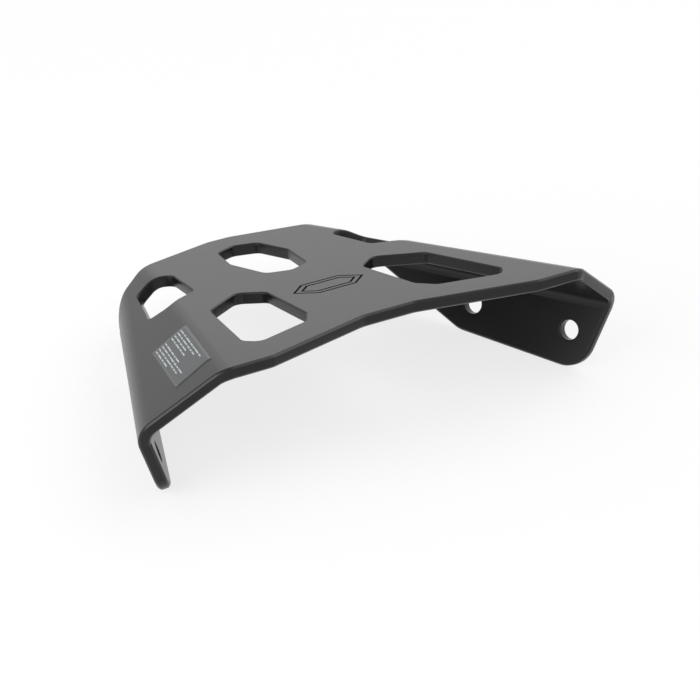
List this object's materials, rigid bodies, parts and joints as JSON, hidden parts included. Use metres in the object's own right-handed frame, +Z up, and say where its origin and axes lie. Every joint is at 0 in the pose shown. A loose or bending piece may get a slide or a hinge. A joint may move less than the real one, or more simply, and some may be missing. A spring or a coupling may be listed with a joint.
{
  "type": "motorcycle luggage rack",
  "caption": "Folded sheet-metal rack plate that bolts to the sides of a motorcycle's tail and carries small luggage, with cut-outs that take straps.",
  "frame": {"origin": "on the deck's top face and centre line, halfway between the wide and the narrow end", "axes": "+Z up out of the level deck, +X across the motorcycle, -Y towards the wide end"},
  "size_m": [0.2262, 0.1555, 0.0545],
  "materials": {
    "powder_coat": "fine satin black powder coat"
  },
  "bodies": {
    "root": {"rack_plate": "powder_coat"}
  },
  "joints": []
}
